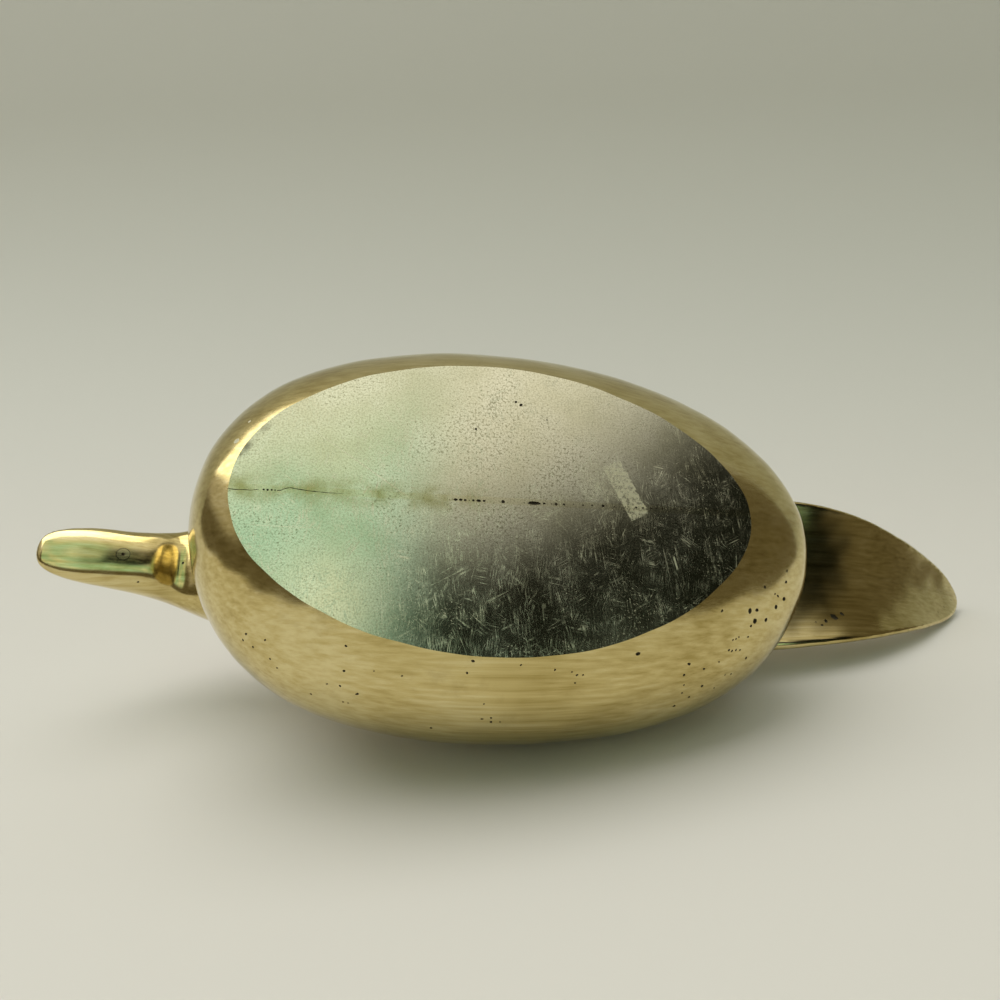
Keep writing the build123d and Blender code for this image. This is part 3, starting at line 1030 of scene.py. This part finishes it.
def ground_brass(name, pale, middle, deep):
    """Lapped brass, a hazy mirror with scratches, stains and a grain of tiny worn dents."""
    material, add, at = start_material(name)
    cloud = add("TexNoise", {"Vector": at, "Scale": 1 / (17 * MM), "Detail": 4.0})
    blot = add("TexNoise", {"Vector": at, "Scale": 1 / (5 * MM), "Detail": 5.0})
    blotted = add("MapRange", {0: blot, 1: 0.4, 2: 0.62, 3: 0.1, 4: 1.0})
    grain = add("TexNoise", {"Vector": at, "Scale": 1 / (0.42 * MM), "Detail": 2.0, "Roughness": 0.6})
    dents = add("MapRange", {0: grain, 1: 0.36, 2: 0.56, 3: 0.5, 4: 0.0})
    smear = add("Math", {0: mark_share(add, at, *dark_smear, 0.6), 1: blotted}, operation="MULTIPLY")
    cover = glue_and_dust(add, at)
    shade = add("ValToRGB", {0: cloud}, [(0.38, colour(middle)), (0.62, colour(pale))])
    for share, code in (
        (dents, "#a39c7c"), (seam_stain(add, at, blotted), "#9c9156"), (freckles(add, at, cloud), deep),
        (smear, "#5a5040"), (cover, "#b8b092"),
    ):
        shade = add("Mix", {0: share, 6: shade, 7: colour(code)}, data_type="RGBA").outputs[2]
    metal = add("Math", {0: cover, 1: -0.75, 2: 1.0}, operation="MULTIPLY_ADD")
    scratched = scratches(add, at)
    rough = add("MapRange", {0: cloud, 1: 0.3, 2: 0.7, 3: 0.1, 4: 0.15})
    for share, rougher in ((scratched, 0.3), (cover, 0.4)):
        rough = add("Math", {0: share, 1: rougher, 2: rough}, operation="MULTIPLY_ADD")
    depth = add("Math", {0: dents, 1: 0.5, 2: scratched}, operation="MULTIPLY_ADD")
    bump = add("Bump", {"Strength": 0.35, "Distance": 0.006 * MM, "Height": depth}, invert=True)
    shader = add("BsdfPrincipled", {
        "Base Color": shade, "Metallic": metal, "Roughness": rough, "Normal": bump})
    add("OutputMaterial", {"Surface": shader})
    return material


ground_cast = ground_brass("ground_cast_brass", "#e8e3c6", "#d6d1b0", "#7a7450")
ground_braze = ground_brass("ground_braze_brass", "#e4deba", "#cfc8a2", "#706a46")
print("ground finishes:", ground_cast.name, ground_braze.name)

# %% [markdown]
# Inside the pits, the seam's voids and the engraved lines sits old polish and oxide. It is
# dull, nearly black brown, and no cloth reaches it.

# %% Oxide in the pits
def pit_oxide(name):
    """Oxide and dried polish, which give dull dark specks."""
    material, add, at = start_material(name)
    grain = add("TexNoise", {"Vector": at, "Scale": 1 / (0.3 * MM), "Detail": 3.0})
    shade = add("ValToRGB", {0: grain}, [(0.35, colour("#1c160b")), (0.7, colour("#4a3d22"))])
    shader = add("BsdfPrincipled", {"Base Color": shade, "Metallic": 0.35, "Roughness": 0.75})
    add("OutputMaterial", {"Surface": shader})
    return material


oxide = pit_oxide("pit_oxide")
print("finish of the flaws:", oxide.name)

# %% [markdown]
# Each piece takes one finish for each kind of its faces. It rides on the one body that the
# model has and stands for its CAD node, which is hidden.

# %% Dressing the pieces and tying them to the model
for name, node, slot, finishes in (
    ("left_casting", "left_half", "cast_brass", (cast_brass, ground_cast, oxide)),
    ("right_casting", "right_half", "cast_brass", (cast_brass, ground_cast, oxide)),
    ("seam_filler", "seam_bead", "braze_metal", (braze_brass, ground_braze, oxide)),
    ("vent_pin", "vent_plug", "plug_brass", (plug_brass, plug_brass, oxide)),
):
    mesh = pieces[name].data
    kinds = [face.material_index for face in mesh.polygons]
    mesh.materials.clear()
    for finish in finishes:
        mesh.materials.append(finish)
    mesh.polygons.foreach_set("material_index", kinds)
    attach(pieces[name], "root")
    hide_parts(node)
    print(name, "stands for", node)

# %% [markdown]
# The duck lies on its right side, with its underside towards the camera. So the floor is not
# level in the duck's own frame: it touches the flank, and its upward direction was found from
# the picture. Behind the duck the paper sweeps up, so no line shows. It shows from its front
# only, so that it hides nothing in views from below.

# %% Floor and backdrop
floor_up = Vector((0.12822, 0.79631, -0.59114)).normalized()
floor_level = -62.04
away = (-camera_back - floor_up * (-camera_back).dot(floor_up)).normalized()
across = away.cross(floor_up)
SWEEP_START, SWEEP_RADIUS, SWEEP_STEPS, WALL_TOP = 210.0, 260.0, 24, 900.0
NEAR_END, HALF_WIDTH = -1500.0, 1800.0

# How far back and how high over the floor the paper runs
profile = [(NEAR_END, 0.0), (SWEEP_START, 0.0)]
for step in range(1, SWEEP_STEPS + 1):
    angle = math.pi / 2 * step / SWEEP_STEPS
    profile.append((SWEEP_START + SWEEP_RADIUS * math.sin(angle), SWEEP_RADIUS * (1 - math.cos(angle))))
profile.append((SWEEP_START + SWEEP_RADIUS, WALL_TOP))
paper = bmesh.new()
rows = [
    [paper.verts.new((away * back + floor_up * (floor_level + rise) + across * side) * MM) for back, rise in profile]
    for side in (-HALF_WIDTH, HALF_WIDTH)
]
for k in range(len(profile) - 1):
    paper.faces.new((rows[0][k], rows[1][k], rows[1][k + 1], rows[0][k + 1]))
floor = as_object(paper, "floor")
for face in floor.data.polygons:
    face.use_smooth = True
if floor.data.polygons[0].normal.dot(floor_up) < 0:
    floor.data.flip_normals()
print("floor faces the light:", floor.data.polygons[0].normal.dot(floor_up) > 0.99)

# %% The paper
floor_material, add, _ = start_material("pale_paper")
sheet = add("BsdfPrincipled", {"Base Color": colour("#d2cec6"), "Roughness": 0.7})
clear = add("BsdfTransparent")
from_behind = add("NewGeometry").outputs["Backfacing"]
paper_shader = add("MixShader", {0: from_behind, 1: sheet, 2: clear})
add("OutputMaterial", {"Surface": paper_shader})
floor.data.materials.append(floor_material)
print("floor finish:", floor_material.name)

# %% [markdown]
# Polished metal shows little else than the room round it, so the light is a soft room. It is
# bright overhead, and dim on the camera's side but for two windows. The change from bright to
# dim is what makes the underside read as metal.

# %% Directions in the room
world = bpy.data.worlds.new("room")
bpy.context.scene.world = world
world.use_nodes = True
world.node_tree.nodes.clear()
add = partial(add_node, world.node_tree)
way = add("TexCoord").outputs["Generated"]
towards_camera = -away


def part_of_room(direction, low, high, starts=0.0, both_ways=False):
    """A share that goes from its start, 0 or 1, to the other, as a way's part along a direction rises."""
    along = add("VectorMath", {0: way, 1: direction}, operation="DOT_PRODUCT").outputs["Value"]
    if both_ways:
        along = add("Math", {0: along}, operation="ABSOLUTE")
    return add("MapRange", {
        0: along, 1: low, 2: high, 3: starts, 4: 1.0 - starts}, interpolation_type="SMOOTHSTEP")


def room_way(azimuth, height):
    """A direction from its turn to the right of the camera and its height over the floor, in degrees."""
    turn, rise = math.radians(azimuth), math.radians(height)
    level = towards_camera * math.cos(turn) + across * math.sin(turn)
    return level * math.cos(rise) + floor_up * math.sin(rise)


print("the camera's side of the room lies at", [round(c, 2) for c in room_way(0, 0)])

# %% The dim side
# It ends below the ceiling on the right, lower on the left, and at the floor
dim_front = part_of_room(room_way(30, 0), 0.02, 0.25)
below_ceiling = part_of_room(room_way(85, 83), 0.80, 0.925, starts=1.0)
dim_ahead = add("Math", {0: dim_front, 1: below_ceiling}, operation="MULTIPLY")
on_left = part_of_room(room_way(-85, 0), 0.5, 0.8)
low_down = part_of_room(floor_up, 0.24, 0.42, starts=1.0)
dim_left = add("Math", {0: on_left, 1: low_down}, operation="MULTIPLY")
dim_around = add("Math", {0: dim_ahead, 1: dim_left}, operation="MAXIMUM")
over_floor = part_of_room(floor_up, -0.08, -0.01)
dim_share = add("Math", {0: dim_around, 1: over_floor}, operation="MULTIPLY")
# It is nearly black within 23 degrees of one direction, and brown from 35 degrees on
dark_core = part_of_room(room_way(40, 40), math.cos(math.radians(35)), math.cos(math.radians(23)))
print("the dark core points to", [round(c, 2) for c in room_way(40, 40)])

# %% [markdown]
# The mint green and cream on the left of the underside are a tall window with leaves outside,
# and a wide low one under it. They are part of the room's light, and noise makes the leaves.

# %% The windows
# How little a way turns aside gives each window's width, and how steeply it rises the height
tall = part_of_room(room_way(85, 0), 0.26, 0.38, starts=1.0, both_ways=True)
wide = part_of_room(room_way(97, 0), 0.46, 0.56, starts=1.0, both_ways=True)
under = part_of_room(floor_up, 0.54, 0.66, starts=1.0)
wide_under = add("Math", {0: wide, 1: under}, operation="MULTIPLY")
window_share = add("Math", {0: tall, 1: wide_under}, operation="MAXIMUM")
for limit in (
    part_of_room(towards_camera, 0.2, 0.4),
    add("Math", {
        0: part_of_room(floor_up, 0.2, 0.36), 1: part_of_room(floor_up, 0.87, 0.96)}, operation="SUBTRACT"),
):
    window_share = add("Math", {0: window_share, 1: limit}, operation="MULTIPLY")
leaves = add("TexNoise", {"Vector": way, "Scale": 5.0, "Detail": 2.0})
gaps = add("MapRange", {0: leaves, 1: 0.42, 2: 0.6, 3: 0.0, 4: 1.0}, interpolation_type="SMOOTHSTEP")
print("the windows look towards", [round(c, 2) for c in room_way(0, 35)])

# %% The whole room
overhead = part_of_room(floor_up, 0.55, 0.85)
room, dim_room, outside = (
    add("Mix", {0: share, 6: colour(first), 7: colour(second)}, data_type="RGBA").outputs[2]
    for share, first, second in (
        (overhead, "#bebab0", "#fffdf6"), (dark_core, "#6a6350", "#12140d"), (gaps, "#b2e0cc", "#f6ffea")))
for share, part in ((dim_share, dim_room), (window_share, outside)):
    room = add("Mix", {0: share, 6: room, 7: part}, data_type="RGBA").outputs[2]
background = add("Background", {"Color": room, "Strength": 1.0})
add("OutputWorld", {"Surface": background})
bpy.context.scene.view_settings.view_transform = "Standard"
print("the room has", len(world.node_tree.nodes), "nodes")

# %% [markdown]
# One large lamp, high on the left and a little behind the duck, gives the highlight on the rim
# and a soft shadow. A smaller one would give a hard spot on polished metal.

# %% The softbox
SOFTBOX_METRES = 2.0
softbox_data = bpy.data.lights.new("softbox", "AREA")
softbox_data.shape = "SQUARE"
softbox_data.size = 2.5
softbox_data.energy = 38.0
softbox = bpy.data.objects.new("softbox", softbox_data)
softbox_way = room_way(-118, 64)
facing = softbox_way.to_track_quat("Z", "Y").to_matrix().to_4x4()
softbox.matrix_world = Matrix.Translation(softbox_way * SOFTBOX_METRES) @ facing
bpy.context.scene.collection.objects.link(softbox)
softbox.visible_camera = False
print("softbox", softbox_data.energy, "W at", [round(c, 2) for c in softbox.location])
